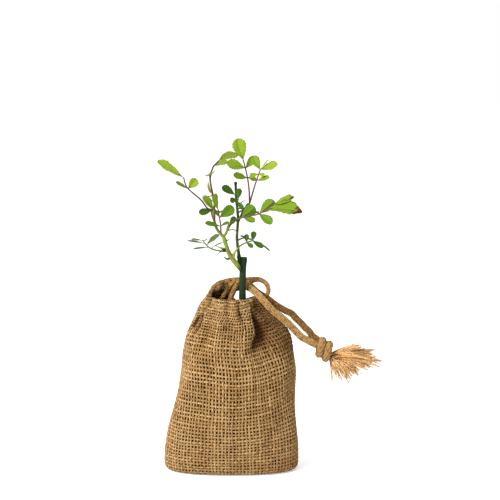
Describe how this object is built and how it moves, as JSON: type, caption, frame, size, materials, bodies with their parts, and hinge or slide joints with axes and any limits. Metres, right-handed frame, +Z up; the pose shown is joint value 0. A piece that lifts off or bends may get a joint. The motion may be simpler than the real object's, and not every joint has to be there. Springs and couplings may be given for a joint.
{
  "type": "tree sapling in a jute sack",
  "caption": "Young pinnate-leaved sapling with cut-back stems, its root ball held in a small jute drawstring sack with a knotted, frayed cord.",
  "frame": {"origin": "middle of the sack's flat underside", "axes": "+Z up along the stem, -Y towards the front that shows the pleated neck, +X towards the knotted end of the drawstring"},
  "size_m": [0.1603, 0.0616, 0.2434],
  "materials": {
    "jute": "matte",
    "braid": "matte",
    "frayed_jute": "matte",
    "soil": "matte",
    "dark_bark": "matte",
    "pale_bark": "matte",
    "leaf": "matte",
    "deep_leaf": "matte"
  },
  "bodies": {
    "root": {"jute_sack": "jute", "hem_loop": "jute", "root_ball": "soil", "trunk": "dark_bark", "dark_stem": "dark_bark", "main_shoot": "pale_bark", "left_branch": "pale_bark", "side_shoot": "pale_bark", "cord_lower": "braid", "cord_upper": "braid", "knot": "braid", "tassel": "frayed_jute", "leaf_top": "leaf", "leaf_top_right": "leaf", "leaf_right": "leaf", "leaf_left": "leaf", "leaf_arched": "leaf", "leaf_middle": "leaf", "stem_leaf_left": "deep_leaf", "stem_leaf_right": "deep_leaf", "leaf_low_left": "leaf", "leaf_low_right": "leaf", "leaf_back_right": "deep_leaf", "leaf_back_left": "leaf", "leaf_back_low": "deep_leaf"}
  },
  "joints": []
}
